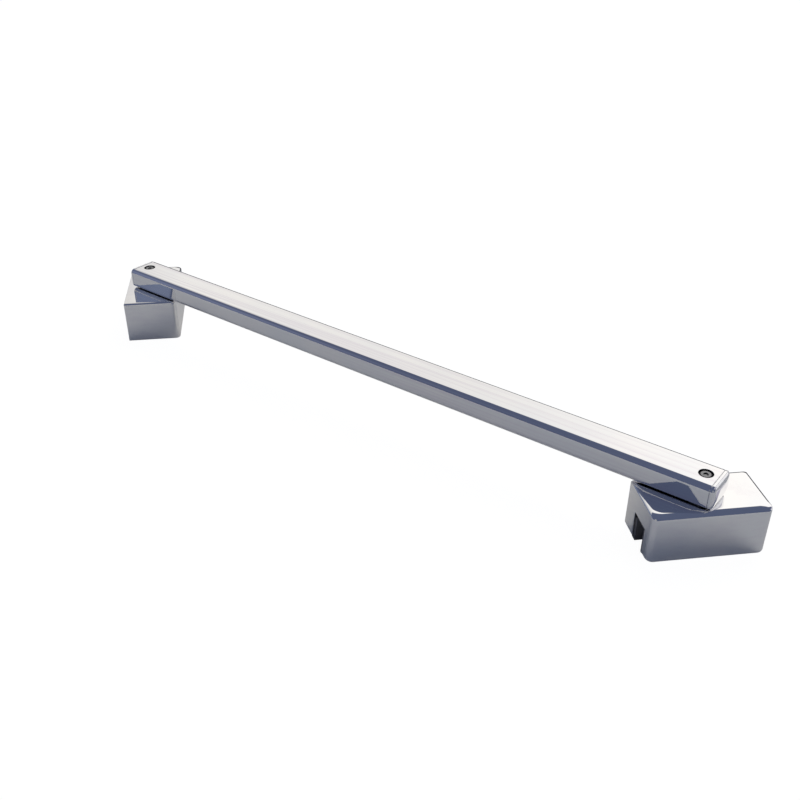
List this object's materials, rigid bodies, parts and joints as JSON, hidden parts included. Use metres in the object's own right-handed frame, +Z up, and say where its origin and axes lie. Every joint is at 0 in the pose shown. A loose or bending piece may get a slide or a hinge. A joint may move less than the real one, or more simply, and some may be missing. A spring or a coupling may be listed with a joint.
{
  "type": "glass panel support bar",
  "caption": "Rectangular chrome stabiliser bar on pivots between a wall bracket and a clamp for a glass shower panel.",
  "frame": {"origin": "middle of the wall bracket's wall face, at the middle height of both blocks", "axes": "+X out of the wall, +Z up; the bar lies level and runs at 45 degrees towards +X and -Y"},
  "size_m": [0.3301, 0.3288, 0.0408],
  "materials": {
    "chrome_zinc": "polished chrome plate on die-cast zinc",
    "chrome_tube": "polished chrome plate on drawn tube",
    "chrome_plug": "polished chrome plate",
    "steel_plate": "plain pressed stainless steel",
    "steel_screw": "stainless steel fastener",
    "black_steel": "blackened steel",
    "nylon": "dark moulded nylon",
    "rubber": "dark grey rubber"
  },
  "bodies": {
    "wall_bracket": {"wall_bracket_block": "chrome_zinc", "wall_plate": "steel_plate", "wall_set_screw_front": "steel_screw", "wall_set_screw_back": "steel_screw", "wall_glide_washer": "nylon", "wall_pivot_screw": "steel_screw"},
    "bar": {"bar_tube": "chrome_tube", "wall_end_plug": "chrome_plug", "glass_end_plug": "chrome_plug", "wall_pivot_bush": "nylon", "glass_pivot_bush": "nylon"},
    "glass_clamp": {"glass_clamp_block": "chrome_zinc", "glass_pivot_screw": "steel_screw", "glass_glide_washer": "nylon", "fixed_liner": "rubber", "ceiling_liner": "rubber"},
    "pressure_jaw": {"pressure_plate": "black_steel", "pressure_pad": "rubber"},
    "left_screw": {"clamp_screw_left": "steel_screw"},
    "right_screw": {"clamp_screw_right": "steel_screw"}
  },
  "joints": [
    {"name": "wall_pivot", "type": "hinge", "parent": "wall_bracket", "child": "bar", "pos_m": [0.0163, -0.0015, 0.01365], "axis": [0, 0, 1], "range_deg": [-40, 130]},
    {"name": "glass_pivot", "type": "hinge", "parent": "bar", "child": "glass_clamp", "pos_m": [0.29914, -0.28434, 0.01365], "axis": [0, 0, 1], "continuous": true},
    {"name": "jaw_slide", "type": "slide", "parent": "glass_clamp", "child": "pressure_jaw", "axis": [0, -1, 0], "range_m": [0, 0.003]},
    {"name": "clamp_screw_turn", "type": "hinge", "parent": "pressure_jaw", "child": "left_screw", "pos_m": [0.28514, -0.26834, -0.00655], "axis": [0, -1, 0], "range_deg": [0, 1350]},
    {"name": "second_screw_turn", "type": "hinge", "parent": "pressure_jaw", "child": "right_screw", "pos_m": [0.31514, -0.26834, -0.00655], "axis": [0, -1, 0], "range_deg": [0, 1350]}
  ],
  "couplings": [
    {"joint": "clamp_screw_turn", "follows": "jaw_slide", "rad_per_m": 7854},
    {"joint": "second_screw_turn", "follows": "jaw_slide", "rad_per_m": 7854}
  ]
}
